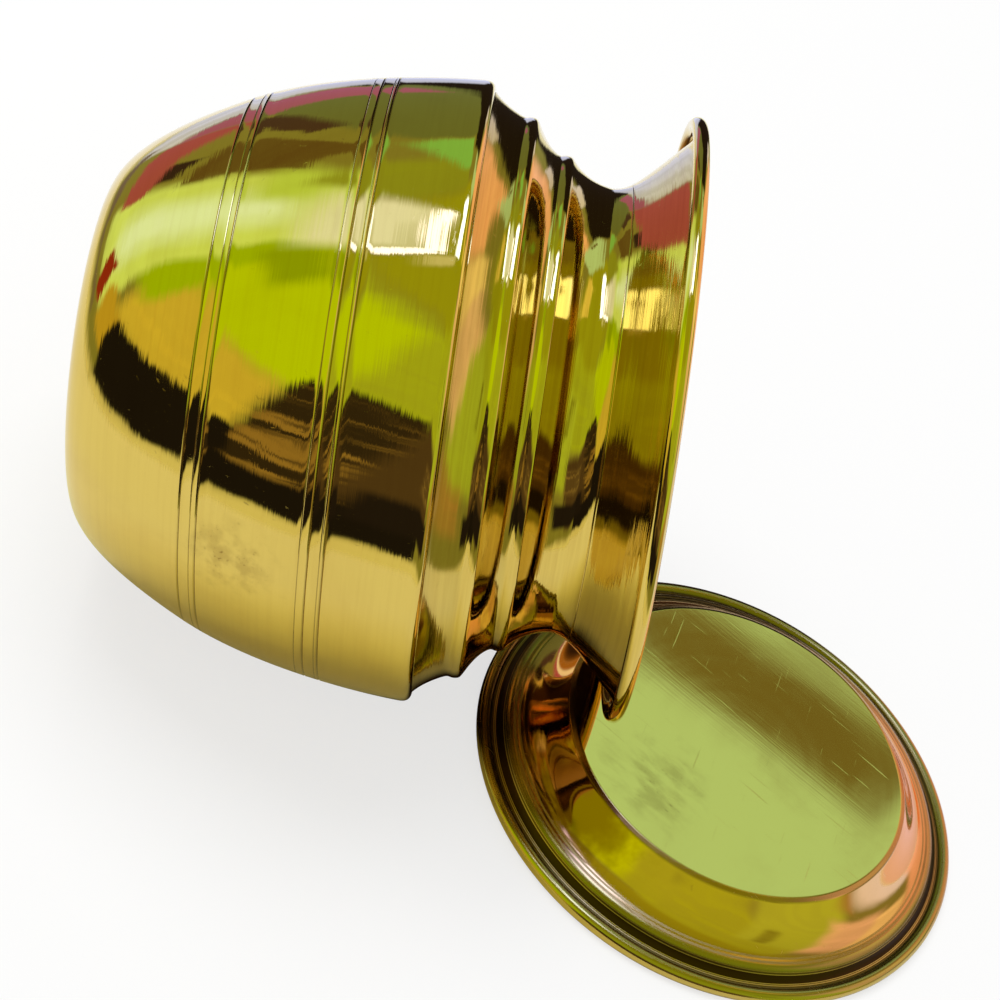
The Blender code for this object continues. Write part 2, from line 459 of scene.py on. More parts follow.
def lid_side(side_steps, groove_steps):
    """Crease, sloping side, shelf and groove, from the flat out to the bead."""
    join = on_circle(LID_BEAD_CENTRE, LID_BEAD, LID_BEAD_JOIN) + Vector((0, 0, LID_BEAD_SHADE))
    outline = [Vector((LID_FLAT_RADIUS - CREASE_WIDTH, LID_HEIGHT, 0))]
    outline.append(Vector((LID_FLAT_RADIUS, LID_HEIGHT, CREASE_SHADE)))
    outline.append(Vector((*LID_CREASE, CREASE_SHADE)))
    outline += bezier((LID_CREASE, *LID_SIDE_PULLS, LID_SHELF), side_steps)[1:]
    return outline + bezier((LID_SHELF_EDGE, LID_GROOVE, join), groove_steps)


lid_bead = arc(LID_BEAD_CENTRE, LID_BEAD, LID_BEAD_JOIN, LID_BEAD_CURL - math.tau, LID_BEAD_STEPS)
# painted shade on the bead, fading out round its curl
for step, point in enumerate(lid_bead):
    point.z = LID_BEAD_SHADE * max(0, 1 - step / LID_BEAD_SHADE_FADE)
lid_under = inset(lid_side(*LID_UNDER_STEPS)[::-1], LID_SHEET)[1:]
lid_under[-1].y = LID_HEIGHT - LID_SHEET
lid_ceiling = disc(lid_under[-1].x, LID_HEIGHT - LID_SHEET, INNER_FLAT_STEPS, UNPOLISHED)
lid_outline = disc(LID_FLAT_RADIUS, LID_HEIGHT, LID_FLAT_STEPS) + lid_side(*LID_TOP_STEPS)[:-1]
lid_outline += lid_bead + lid_under + lid_ceiling[::-1]
pot_lid = turn_on_lathe("dish_lid", lid_outline, lid_place, ring=False)
hand_over(pot_lid, "lid", "lid")

# %% [markdown]
# Materials are made of nodes. A few small helpers keep the code readable: one adds a node and fills
# or links its inputs, and one opens a node group, which is an effect built once and used with
# different values in several materials.

# %% Helpers for nodes
def put(tree, kind, settings, inputs):
    """Add a node, set its options, and fill or link its inputs."""
    node = tree.nodes.new("ShaderNode" + kind)
    for name, value in settings.items():
        setattr(node, name, value)
    for name, value in inputs.items():
        if isinstance(value, bpy.types.NodeSocket):
            tree.links.new(value, node.inputs[name])
        else:
            node.inputs[name].default_value = value
    return node


def open_group(name, inputs, outputs):
    """A new node group with named sockets, each given as (name, kind)."""
    tree = bpy.data.node_groups.new(name, "ShaderNodeTree")
    for label, kind in inputs:
        tree.interface.new_socket(name=label, in_out="INPUT", socket_type="NodeSocket" + kind)
    for label, kind in outputs:
        tree.interface.new_socket(name=label, in_out="OUTPUT", socket_type="NodeSocket" + kind)
    return tree, tree.nodes.new("NodeGroupInput").outputs, tree.nodes.new("NodeGroupOutput").inputs


print("node helpers ready")

# %% [markdown]
# The same few steps come back in every finish: a sum, a noise, a soft threshold, a blend of two
# colours, a stretched or turned place. Each gets a short name of its own here, so that a finish
# reads like a recipe and not like a list of sockets.

# %% Helpers for finishes
# the sockets of the Mix node that take and give colours
COLOUR_A = 6
COLOUR_B = 7
COLOUR_OUT = 2


def reckon(tree, operation, first, second=0.0):
    """One sum on two values."""
    return put(tree, "Math", {"operation": operation}, {0: first, 1: second}).outputs[0]


def share_of(tree, value, share):
    """A value made smaller or larger."""
    return reckon(tree, "MULTIPLY", value, share)


def cloud(tree, place, settings):
    """A noise over a place."""
    return put(tree, "TexNoise", {}, {"Vector": place, **settings}).outputs[0]


def ramp(tree, value, start, end, low=0.0, high=1.0, kind="LINEAR"):
    """Take a value from one range to another."""
    inputs = {"Value": value, "From Min": start, "From Max": end, "To Min": low, "To Max": high}
    return put(tree, "MapRange", {"interpolation_type": kind}, inputs).outputs[0]


def soft_step(tree, value, start, end, high=1.0):
    """Rise softly from nothing to a full share between two values."""
    return ramp(tree, value, start, end, high=high, kind="SMOOTHSTEP")


def blend(tree, share, first, second):
    """Mix two colours by a share."""
    inputs = {"Factor": share, COLOUR_A: first, COLOUR_B: second}
    return put(tree, "Mix", {"data_type": "RGBA"}, inputs).outputs[COLOUR_OUT]


def stretch(tree, place, shares):
    """A place with each axis multiplied by its own share."""
    return put(tree, "VectorMath", {"operation": "MULTIPLY"}, {0: place, 1: shares}).outputs[0]


def turn_about_z(tree, place, angle):
    """A place turned about the lathe's axis."""
    inputs = {"Vector": place, "Angle": angle}
    return put(tree, "VectorRotate", {"rotation_type": "Z_AXIS"}, inputs).outputs[0]


def measure(tree, operation, first, second=(0, 0, 0)):
    """The length of a vector, or the distance between two places."""
    return put(tree, "VectorMath", {"operation": operation}, {0: first, 1: second}).outputs["Value"]


print("finish helpers ready")

# %% [markdown]
# Turning marks are what makes spun brass look spun. A noise that changes fast along the outline
# and slowly round the axis gives rings of slightly different slope, so a reflection breaks into
# fine teeth along each ring. The same group gives the fine lines alone, to tint, and a slower wave
# for rings that are polished less.

# %% Build the turning marks
AROUND_X = 0.03
AROUND_Y = 0.022
FINE_GRAIN = {"Detail": 3.0, "Roughness": 0.62}
SLOW_GRAIN = {"Detail": 2.0}
SLOW_SCALE = 0.21
SLOW_HEIGHT = 1.6

tree, given, result = open_group("turning_marks", [("Place", "Vector"), ("Fineness", "Float")],
                                 [("Height", "Float"), ("Dullness", "Float"), ("Line", "Float")])
axes = put(tree, "SeparateXYZ", {}, {0: given["Place"]}).outputs
across = put(tree, "CombineXYZ", {}, {0: axes[0], 1: axes[1]}).outputs[0]
radius = measure(tree, "LENGTH", across)
around = reckon(tree, "ADD", share_of(tree, axes[0], AROUND_X), share_of(tree, axes[1], AROUND_Y))
along = put(tree, "CombineXYZ", {}, {0: radius, 1: axes[2], 2: around}).outputs[0]
fine = cloud(tree, along, {"Scale": given["Fineness"], **FINE_GRAIN})
slow = cloud(tree, along, {"Scale": share_of(tree, given["Fineness"], SLOW_SCALE), **SLOW_GRAIN})
height = reckon(tree, "ADD", fine, share_of(tree, slow, SLOW_HEIGHT))
tree.links.new(height, result["Height"])
tree.links.new(slow, result["Dullness"])
tree.links.new(fine, result["Line"])
turning_marks = tree
print("group", tree.name, len(tree.nodes), "nodes")

# %% [markdown]
# Handling leaves soft stains, and small specks of dirt. Stains come from a slow noise with its
# middle pushed to both ends. Specks are the cores of a fine noise among paler smudges, kept inside
# one ragged patch for each piece, because real dirt sits where fingers or a wet table left it. Their
# noise is stretched the way that the piece was wiped. The patch alone comes out too, as a film.

# %% Build the stains and specks
STAIN_GRAIN = {"Scale": 34.0, "Detail": 5.0, "Roughness": 0.6, "Distortion": 0.6}
STAIN_RANGE = (0.46, 0.72)
RAGGED_GRAIN = {"Scale": 180.0, "Detail": 3.0}
RAGGED_REACH = 2.0
PATCH_FULL = 0.3
SPECK_GRAIN = {"Scale": 1400.0, "Detail": 2.0, "Roughness": 0.7}
SPECK_RANGE = (0.56, 0.72)
SPECK_STRENGTH = 2.4
SMUDGE_GRAIN = {"Scale": 420.0, "Detail": 4.0}
SMUDGE_RANGE = (0.36, 0.68)
SMUDGE_STRENGTH = 0.35

tree, given, result = open_group("handling", [("Place", "Vector"), ("Smear", "Vector"),
                                              ("Patch", "Vector"), ("Reach", "Float")],
                                 [("Stain", "Float"), ("Speck", "Float"), ("Film", "Float")])
stain = soft_step(tree, cloud(tree, given["Place"], STAIN_GRAIN), *STAIN_RANGE)
away = measure(tree, "DISTANCE", given["Place"], given["Patch"])
ragged = share_of(tree, cloud(tree, given["Place"], RAGGED_GRAIN), RAGGED_REACH)
edge = share_of(tree, given["Reach"], ragged)
film = soft_step(tree, away, edge, share_of(tree, edge, PATCH_FULL))
core = soft_step(tree, cloud(tree, given["Smear"], SPECK_GRAIN), *SPECK_RANGE)
smudge = soft_step(tree, cloud(tree, given["Smear"], SMUDGE_GRAIN), *SMUDGE_RANGE, SMUDGE_STRENGTH)
speckled = share_of(tree, core, share_of(tree, smudge, SPECK_STRENGTH))
dirt = reckon(tree, "MAXIMUM", speckled, smudge)
tree.links.new(stain, result["Stain"])
tree.links.new(film, result["Film"])
tree.links.new(share_of(tree, dirt, film), result["Speck"])
handling = tree
print("group", tree.name, len(tree.nodes), "nodes")

# %% [markdown]
# The lid's flat is rubbed with a cloth in one direction, and every piece carries a few scratches.
# Both are the same thing at different strengths: noise stretched into long thin threads along an
# angle. Only the highest threads are kept, so that they stay apart from each other.

# %% Build the rubbing marks
THREAD_STRETCH = (0.035, 1.0, 0.4)
THREAD_GRAIN = {"Scale": 2200.0, "Detail": 2.0}
SCRATCH_EDGE = 0.07

tree, given, result = open_group("rubbing", [("Place", "Vector"), ("Angle", "Float"),
                                             ("Keep", "Float")],
                                 [("Thread", "Float"), ("Scratch", "Float")])
rubbed = turn_about_z(tree, given["Place"], given["Angle"])
thread = cloud(tree, stretch(tree, rubbed, THREAD_STRETCH), THREAD_GRAIN)
deepest = reckon(tree, "ADD", given["Keep"], SCRATCH_EDGE)
scratch = soft_step(tree, thread, given["Keep"], deepest)
tree.links.new(thread, result["Thread"])
tree.links.new(scratch, result["Scratch"])
rubbing = tree
print("group", tree.name, len(tree.nodes), "nodes")

# %% [markdown]
# Every brass on the pot asks the same questions of a point: how much painted shade it carries,
# whether it is the bare inside, and what the three groups say there. The answers are gathered once,
# by name, so that colour, roughness and slope can each be made in a cell of its own. A second set of
# scratches crosses the first, a little rarer.

# %% Gather what the brass knows of each point
SMEAR = (0.4, 1, 1)
CROSSING = 1.25
CROSSING_RARER = 0.02


def use(tree, group, inputs):
    """Place a node group with its own values."""
    return put(tree, "Group", {"node_tree": group}, inputs).outputs


def clamp(tree, value):
    """A value kept between 0 and 1."""
    return put(tree, "Clamp", {}, {"Value": value}).outputs[0]


def handle(tree, known, patch):
    """Stains everywhere, and dirt in one patch given by its middle and its reach."""
    inputs = {"Place": known["place"], "Smear": known["smear"], "Patch": patch[:3], "Reach": patch[3]}
    return use(tree, handling, inputs)


def read_surface(tree, marks, patch, rub_angle, keep):
    """Painted shade, the bare mark, turning marks, handling and scratches at each point, as named
    sockets.
    """
    place = put(tree, "Attribute", {"attribute_name": "on_lathe"}, {}).outputs["Vector"]
    shade_and_bare = put(tree, "Attribute", {"attribute_name": "shade_and_bare"}, {}).outputs["Fac"]
    known = {"place": place, "smear": stretch(tree, turn_about_z(tree, place, rub_angle), SMEAR)}
    # painted shade darkens cuts, corners, creases and the lid's rim; -1 marks the bare inside
    known["grime"] = clamp(tree, shade_and_bare)
    known["bare"] = clamp(tree, share_of(tree, shade_and_bare, UNPOLISHED))
    known["lines"] = use(tree, turning_marks, {"Place": place, "Fineness": marks})
    known["worn"] = handle(tree, known, patch)
    rub = use(tree, rubbing, {"Place": place, "Angle": rub_angle, "Keep": keep})
    crossing = use(tree, rubbing, {"Place": place, "Angle": rub_angle + CROSSING,
                                   "Keep": keep + CROSSING_RARER})
    known["thread"] = rub["Thread"]
    known["scratch"] = reckon(tree, "MAXIMUM", rub["Scratch"], crossing["Scratch"])
    return known


print("scratches cross at", round(math.degrees(CROSSING)), "degrees")

# %% [markdown]
# Brass is nearly all mirror: its colour is the tint it gives to what it reflects. Stains, specks and
# painted shade darken the tint one after the other, and the bare inside has aged in brown rings. The
# lid's side, which no cloth rubs, is redder than its flat, and one patch of it carries a painted
# reflection: a brown for the dark pot mirrored there. Colours could be painted on vertices too, but
# blends of masks stay sharp however near the camera comes.

# %% Colour the brass
POLISHED = (0.70, 0.525, 0.12, 1)
REDDENED = (0.80, 0.475, 0.14, 1)
# a painted reflection: brown for the dark pot mirrored in the lid's side
PAINTED_REFLECTION_BROWN = (0.33, 0.15, 0.05, 1)
STAINED = (0.46, 0.27, 0.05, 1)
SPECKED = (0.24, 0.14, 0.027, 1)
# the tint of painted shade in cuts, corners, creases and the lid's rim
PAINTED_SHADE_TINT = (0.045, 0.022, 0.006, 1)
BARE = (0.50, 0.34, 0.10, 1)
AGED = (0.30, 0.185, 0.05, 1)
ACROSS = (1, 1, 0)
LINE_RANGE = (0.42, 0.68)
STAIN_SHARE = 0.15
AGED_RANGE = (0.35, 0.65)
AGED_RINGS = 0.6
AGED_STAINS = 0.4


def side_tint(tree, known, start, end, reflection_patch):
    """Polished brass that is redder between two radii, with one patch of painted reflection there."""
    radius = measure(tree, "LENGTH", stretch(tree, known["place"], ACROSS))
    past_start = reckon(tree, "GREATER_THAN", radius, start)
    before_end = reckon(tree, "LESS_THAN", radius, end)
    # the patch is a painted reflection, a brown for the dark pot mirrored there
    redder = blend(tree, handle(tree, known, reflection_patch)["Film"], REDDENED, PAINTED_REFLECTION_BROWN)
    return blend(tree, share_of(tree, past_start, before_end), POLISHED, redder)


def brass_colour(tree, known, ring_tint, side):
    """The metal's tint, from clean polish through stains and painted shade to the bare inside."""
    tint = side_tint(tree, known, *side) if side else POLISHED
    lines, worn = known["lines"], known["worn"]
    rings = ramp(tree, lines["Line"], *LINE_RANGE, high=ring_tint)
    stain = reckon(tree, "ADD", rings, share_of(tree, worn["Stain"], STAIN_SHARE))
    specked = blend(tree, worn["Speck"], blend(tree, stain, tint, STAINED), SPECKED)
    # painted shade darkens the tint in cuts, corners, creases and the lid's rim
    shaded_tint = blend(tree, known["grime"], specked, PAINTED_SHADE_TINT)
    dim = ramp(tree, lines["Dullness"], *AGED_RANGE, high=AGED_RINGS)
    aged = reckon(tree, "ADD", dim, share_of(tree, worn["Stain"], AGED_STAINS))
    return blend(tree, known["bare"], shaded_tint, blend(tree, aged, BARE, AGED))


print("polished tint", POLISHED[:3], "bare tint", BARE[:3])

# %% [markdown]
# Roughness says how sharp the mirror is. Rings and stains move it between a low and a high polish,
# and the places of painted shade, dirt, scratches and the bare inside add to it. The marks themselves
# tilt the mirror through two Bump nodes, the turning first and the rubbing over it, because they are
# finer than any mesh.

# %% Roughen and mark the brass
BARE_ROUGHNESS = 0.34
SHADE_AND_DIRT_ROUGHNESS = 0.3
SCRATCH_ROUGHNESS = 0.16
SPECK_AS_DIRT = 0.5
DULL_SHARE = 0.5
DULL_RANGE = (0.1, 0.8)


def brass_roughness(tree, known, polish):
    """Roughness between a low and a high polish, with painted-shade places, dirt, scratches and the
    bare inside on top.
    """
    worn = known["worn"]
    rings = share_of(tree, known["lines"]["Dullness"], DULL_SHARE)
    dull = reckon(tree, "ADD", rings, share_of(tree, worn["Stain"], DULL_SHARE))
    rough = ramp(tree, dull, *DULL_RANGE, *polish)
    # rougher where painted shade sits and where specks of dirt lie
    dirt = reckon(tree, "MAXIMUM", known["grime"], share_of(tree, worn["Speck"], SPECK_AS_DIRT))
    for mask, added in ((dirt, SHADE_AND_DIRT_ROUGHNESS), (known["scratch"], SCRATCH_ROUGHNESS),
                        (known["bare"], BARE_ROUGHNESS)):
        rough = reckon(tree, "ADD", rough, share_of(tree, mask, added))
    return rough


def brass_slope(tree, known, mark_depth, rub_depth):
    """The mirror's tilt from turning marks, and from rubbing marks over them."""
    turned = put(tree, "Bump", {}, {"Strength": 1.0, "Distance": mark_depth,
                                    "Height": known["lines"]["Height"]})
    rubbed = put(tree, "Bump", {}, {"Strength": 1.0, "Distance": rub_depth,
                                    "Height": known["thread"], "Normal": turned.outputs[0]})
    return rubbed.outputs[0]


print("the bare inside is rougher by", BARE_ROUGHNESS)

# %% [markdown]
# The three pieces are one metal with different histories, so one function makes all three brasses.
# The neck has the deepest turning marks, the lid the finest and the most rubbing. Each dirt patch is
# a middle and a reach on the lathe, in metres. The neck shows no dirt, so its patch is too small to
# see. Values that are the same all over stay on the shader's own sockets.

# %% Make the three brasses
BRUSHED = 0.35
BOWL_PATCH = (-0.0012, -0.0465, 0.0290, 0.0095)
NECK_PATCH = (0.0, 0.0, 0.0, 0.0001)
LID_PATCH = (-0.0155, -0.0139, 0.0115, 0.0115)
# the lid's brown patch of painted reflection, given by its middle and reach like a dirt patch
LID_PAINTED_REFLECTION = (-0.0271, -0.0197, 0.0093, 0.0160)
LID_SIDE = (LID_FLAT_RADIUS, LID_SHELF[0], LID_PAINTED_REFLECTION)


def brass(name, polish, marks, mark_depth, ring_tint, patch, rub_angle, rub_depth, keep, side=None):
    """A polished brass. Polish is a low and a high roughness, and depths are in metres."""
    material = bpy.data.materials.new(name)
    material.use_nodes = True
    tree = material.node_tree
    shader = tree.nodes["Principled BSDF"].inputs
    shader["Metallic"].default_value = 1
    shader["Anisotropic"].default_value = BRUSHED
    known = read_surface(tree, marks, patch, rub_angle, keep)
    tree.links.new(brass_colour(tree, known, ring_tint, side), shader["Base Color"])
    tree.links.new(brass_roughness(tree, known, polish), shader["Roughness"])
    tree.links.new(brass_slope(tree, known, mark_depth, rub_depth), shader["Normal"])
    print("material", name, len(tree.nodes), "nodes")
    return material


pot_bowl.data.materials.append(brass(
    "bowl_brass", polish=(0.025, 0.07), marks=1100.0, mark_depth=0.000012, ring_tint=0.1,
    patch=BOWL_PATCH, rub_angle=1.1, rub_depth=0.0000004, keep=0.69))
pot_neck.data.materials.append(brass(
    "neck_brass", polish=(0.025, 0.08), marks=1300.0, mark_depth=0.000022, ring_tint=0.28,
    patch=NECK_PATCH, rub_angle=0.6, rub_depth=0.0000004, keep=0.71))
pot_lid.data.materials.append(brass(
    "lid_brass", polish=(0.03, 0.085), marks=1500.0, mark_depth=0.0000003, ring_tint=0.0,
    patch=LID_PATCH, rub_angle=0.55, rub_depth=0.000001, keep=0.68, side=LID_SIDE))

# %% [markdown]
# Polished metal has no look of its own without something to mirror. The world stands in for a
# studio: soft cards of pale, green, cream and dark cloth, each placed by its direction from the pot,
# and a lamp with a bent bar. An image of a room could surround it too, but cards can be moved one by
# one. Their places and colours were set by comparing reflections with the photograph. Later cards
# hang in front of earlier ones. The edges of most wander a little, as cloth does. The lamp, the beam
# and the shade on the right are held steady.

# %% List the cards
ROOM = (0.30, 0.31, 0.10, 1)
# azimuth, elevation, half width, half height, softness and lean in degrees, share of streaks, colour
PANELS = {
    "far_table": (0, -45, 180, 23, 3, 0, 0, (0.90, 0.88, 0.66)),
    "ceiling": (0, 75, 180, 19, 4, 0, 0, (0.42, 0.49, 0.02)),
    "gold_light": (30, 64, 20, 5, 2, 0, 0, (1.02, 0.88, 0.30)),
    "right_wall": (-65, 43, 50, 19, 4, 0, 0.15, (0.50, 0.66, 0.04)),
    "lime_cloth": (-34, 25, 23, 21, 4, 0, 0.1, (0.54, 0.74, 0.09)),
    "moss_gap": (-44, 36, 4, 9, 2.5, 0, 0.2, (0.28, 0.32, 0.03)),
    "rose_wall": (-3, 31, 14, 18, 4, 0, 0.2, (1.12, 0.82, 0.88)),
    "far_shade": (-22, -2, 16, 8, 3, 0, 0.3, (0.56, 0.36, 0.14)),
    "cream_curtain": (17, 34, 8, 16, 3, 0, 0.2, (1.32, 1.10, 0.85)),
    "white_ledge": (18, -12, 25, 15, 4, 0, 0, (0.98, 1.02, 1.7)),
    "peach_wall": (42, 12, 16, 31, 3, 0, 0.12, (1.33, 0.76, 0.72)),
    "orange_card": (43, 0, 4, 6, 1.5, 0, 0, (1.1, 0.36, 0.12)),
    "dark_side": (80, 8, 16, 31, 1.5, 0, 0, (0.02, 0.014, 0.012)),
    "grey_edge": (62.5, 1, 3, 9, 1, 0, 0, (0.85, 0.84, 1.2)),
    "mint_panel": (64, 49, 14, 9, 2, 0, 0, (0.63, 1.0, 1.0)),
    "lime_wall": (-148, 37, 44, 17, 4, 0, 0, (0.64, 0.95, 0.0)),
    "moss_fold": (-112, 40, 14, 14, 5, 0, 0.1, (0.48, 0.62, 0.05)),
    "cream_wall": (-157, 10, 25, 11, 3.5, 0, 0.1, (0.86, 0.73, 0.15)),
    "lime_corner": (177, 28, 6, 20, 2.5, 0, 0, (0.46, 0.75, 0.0)),
    "green_fold": (-174, 46, 9, 6, 4, 0, 0, (0.36, 0.56, 0.0)),
    "pale_wall": (155.5, 20, 17, 31, 2.5, 0, 0.1, (0.86, 1.24, 0.60)),
    "pale_core": (155, 21, 7, 21, 6, 0, 0.1, (1.05, 1.5, 2.4)),
    "upper_green": (142, 38, 8, 7, 5, 0, 0, (0.68, 1.05, 0.30)),
    "olive_wall": (126, 48, 16, 8, 3, 0, 0.1, (0.36, 0.46, 0.05)),
    "brown_card": (129, 21, 8, 12, 0.8, 12, 0.1, (0.16, 0.11, 0.04)),
    "dark_post": (115, 12, 3, 9, 0.7, 0, 0, (0.09, 0.055, 0.05)),
    "dark_foot": (132, 4, 4, 3, 0.8, 0, 0, (0.05, 0.03, 0.03)),
    "green_card": (109, 40, 6, 7, 2, 0, 0, (0.30, 0.76, 0.28)),
    "olive_side": (103, 10, 10, 22, 1.5, 0, 0, (0.19, 0.24, 0.11)),
    "maroon_card": (128, -4, 12, 5.5, 1.2, 6, 0, (0.48, 0.12, 0.20)),
    "maroon_fold": (106, -6, 10, 5.5, 1.2, 10, 0, (0.46, 0.15, 0.38)),
    "white_skirting": (100, -19, 18, 5, 1.5, 14, 0.2, (0.78, 0.88, 1.5)),
    "low_shade": (138, -18, 24, 2, 1, 0, 0.4, (0.22, 0.18, 0.2)),
    "red_card": (160, -7, 5, 6.5, 1, 20, 0, (0.36, 0.04, 0.02)),
    "gold_ledge": (177, -7, 8, 7, 2, 0, 0, (0.68, 0.5, 0.07)),
    "screen_edge": (-99, 10, 6, 14, 2, 0, 0.5, (0.14, 0.11, 0.05)),
    "dark_floor": (-134, -11, 44, 11, 1.2, 0, 0, (0.015, 0.012, 0.015)),
    "dark_screen": (-117, 9, 13, 18.5, 1.6, 0, 0, (0.04, 0.028, 0.02)),
    "screen_folds": (-117, 8, 13, 17, 2, 0, 1, (0.38, 0.25, 0.09)),
}
STEADY_PANELS = {
    "right_shade": (-83, 6, 25, 18, 3, -12, 0, (0.10, 0.065, 0.04)),
    "right_foot": (-75, -8, 31, 6, 2, 0, 0, (0.02, 0.015, 0.02)),
    "right_shelf": (-76, 9, 20, 5, 3, 0, 0.8, (0.30, 0.21, 0.11)),
    "lamp_glow": (158.5, 55, 17, 9, 4.5, 0, 0.2, (1.10, 1.30, 2.5)),
    "lamp_tail": (-176, 68, 5, 4, 2.5, 0, 0, (0.80, 0.85, 0.8)),
    "lamp_top": (128, 80, 50, 8.5, 1.5, 0, 0, (3.0, 4.0, 12.0)),
    "lamp_end": (100, 69, 22, 4, 1.5, 0, 0, (3.0, 4.0, 12.0)),
    "lamp_bar": (177, 61.4, 2.2, 5, 0.7, 24, 0, (2.4, 2.7, 8.0)),
    "lamp_arch": (157, 63.8, 18, 1.6, 0.7, 7, 0, (2.4, 2.7, 8.0)),
    "brown_beam": (66, 42.82, 5, 0.92, 0.3, 0, 0, (0.22, 0.19, 0.08)),
}
print(len(PANELS), "cards with loose edges,", len(STEADY_PANELS), "held steady")

# %% [markdown]
# One card is a rectangle of directions with soft edges. The group measures how far a direction is
# from the card's middle, turns that by the card's lean, and fades it out at both edges. It works in
# degrees, wrapped at half a turn, so that a card can hang across the back. Area lamps could be the
# cards too, but then they would also light the table.

# %% Build one soft card
HALF_TURN = (180, 180, 180)
HALF_TURN_BACK = (-180, -180, -180)
# the sockets of the Map Range node that take vectors
RANGE_VECTOR = 6
RANGE_START = 7
RANGE_END = 8

tree, given, result = open_group("soft_panel", [("Way", "Vector"), ("Centre", "Vector"),
                                                ("Outer", "Vector"), ("Inner", "Vector"),
                                                ("Lean", "Float"), ("Streaks", "Float"),
                                                ("Streak", "Float")], [("Mask", "Float")])
off = put(tree, "VectorMath", {"operation": "SUBTRACT"}, {0: given["Way"], 1: given["Centre"]})
near = put(tree, "VectorMath", {"operation": "WRAP"},
           {0: off.outputs[0], 1: HALF_TURN, 2: HALF_TURN_BACK})
leant = put(tree, "VectorRotate", {"rotation_type": "Z_AXIS", "invert": True},
            {"Vector": near.outputs[0], "Angle": given["Lean"]})
reach = put(tree, "VectorMath", {"operation": "ABSOLUTE"}, {0: leant.outputs[0]}).outputs[0]
shares = put(tree, "MapRange", {"data_type": "FLOAT_VECTOR", "interpolation_type": "SMOOTHSTEP"},
             {RANGE_VECTOR: reach, RANGE_START: given["Outer"], RANGE_END: given["Inner"]})
sides = put(tree, "SeparateXYZ", {}, {0: shares.outputs[1]}).outputs
kept = put(tree, "Mix", {}, {"Factor": given["Streaks"], 2: 1.0, 3: given["Streak"]}).outputs[0]
tree.links.new(share_of(tree, share_of(tree, sides[0], sides[1]), kept), result["Mask"])
soft_panel = tree
print("group", tree.name, len(tree.nodes), "nodes")

# %% [markdown]
# The world turns each direction into an azimuth and an elevation, and lays the cards over the room's
# colour one after the other. A slow noise added to the direction makes the loose edges wander, and a
# noise stretched along the horizon gives streaks, like folds and shelves seen out of focus.

# %% Hang the cards round the pot
DRIFT_GRAIN = {"Scale": 4.0, "Detail": 2.5, "Roughness": 0.55}
WANDER = Vector((9, 8, 0))
STREAK_STRETCH = (0.02, 0.22, 0)
STREAK_GRAIN = {"Scale": 1.0, "Detail": 3.0, "Distortion": 0.8}
STREAK_RANGE = (0.47, 0.62)

world = bpy.data.worlds.new("surroundings")
bpy.context.scene.world = world
world.use_nodes = True
tree = world.node_tree
tree.nodes.clear()
toward = put(tree, "TexCoord", {}, {}).outputs["Generated"]
axes = put(tree, "SeparateXYZ", {}, {0: toward}).outputs
azimuth = reckon(tree, "DEGREES", reckon(tree, "ARCTAN2", axes[1], axes[0]))
elevation = reckon(tree, "DEGREES", reckon(tree, "ARCSINE", axes[2]))
steady = put(tree, "CombineXYZ", {}, {0: azimuth, 1: elevation}).outputs[0]
drift = put(tree, "TexNoise", {}, {"Vector": toward, **DRIFT_GRAIN}).outputs["Color"]
wander = put(tree, "VectorMath", {"operation": "MULTIPLY_ADD"}, {0: drift, 1: WANDER, 2: -WANDER / 2})
loose = put(tree, "VectorMath", {"operation": "ADD"}, {0: steady, 1: wander.outputs[0]}).outputs[0]
ripples = cloud(tree, stretch(tree, loose, STREAK_STRETCH), STREAK_GRAIN)
streak = soft_step(tree, ripples, *STREAK_RANGE)
seen = ROOM
for way, panels in ((loose, PANELS), (steady, STEADY_PANELS)):
    for name, (turn, rise, wide, tall, soft, lean, streaks, colour) in panels.items():
        # the third numbers belong to no edge, and only have to differ
        outer, inner = (wide + soft, tall + soft, 1), (wide - soft, tall - soft, 0.5)
        card = put(tree, "Group", {"node_tree": soft_panel, "name": name},
                   {"Way": way, "Centre": (turn, rise, 0), "Outer": outer, "Inner": inner,
                    "Lean": math.radians(lean), "Streaks": streaks, "Streak": streak})
        seen = blend(tree, card.outputs[0], seen, (*colour, 1))
print(len(PANELS) + len(STEADY_PANELS), "cards stand round the pot")

# %% [markdown]
# Who sees the cards is settled last. Mirror rays see them, the camera sees plain white, and all
# other rays bring plain soft light, so that the table isn't coloured by the cards. A Light Path
# node tells the rays apart.

# %% Choose who sees the cards
PLAIN_LIGHT = (0.52, 0.52, 0.52, 1)
WHITE = (1, 1, 1, 1)

path = put(tree, "LightPath", {}, {}).outputs
mirrored = put(tree, "Background", {}, {"Color": seen, "Strength": 1.0}).outputs[0]
plain = put(tree, "Background", {}, {"Color": PLAIN_LIGHT, "Strength": 1.0}).outputs[0]
white = put(tree, "Background", {}, {"Color": WHITE, "Strength": 1.0}).outputs[0]
not_camera = put(tree, "MixShader", {}, {0: path["Is Glossy Ray"], 1: plain, 2: mirrored}).outputs[0]
shown = put(tree, "MixShader", {}, {0: path["Is Camera Ray"], 1: not_camera, 2: white}).outputs[0]
put(tree, "OutputWorld", {}, {"Surface": shown})
print("world", world.name, len(tree.nodes), "nodes")

# %% [markdown]
# The table is a plain pale plane, far wider than the picture. It belongs to the stage and not to the
# part, so it neither rides on a body nor counts in the part's size.

# %% Lay the table
TABLE_HALF = 4.0

sheet = bmesh.new()
bmesh.ops.create_grid(sheet, x_segments=1, y_segments=1, size=TABLE_HALF)
table_mesh = bpy.data.meshes.new("table")
sheet.to_mesh(table_mesh)
sheet.free()
table = bpy.data.objects.new("table", table_mesh)
bpy.context.scene.collection.objects.link(table)
print("table", 2 * TABLE_HALF, "m wide")

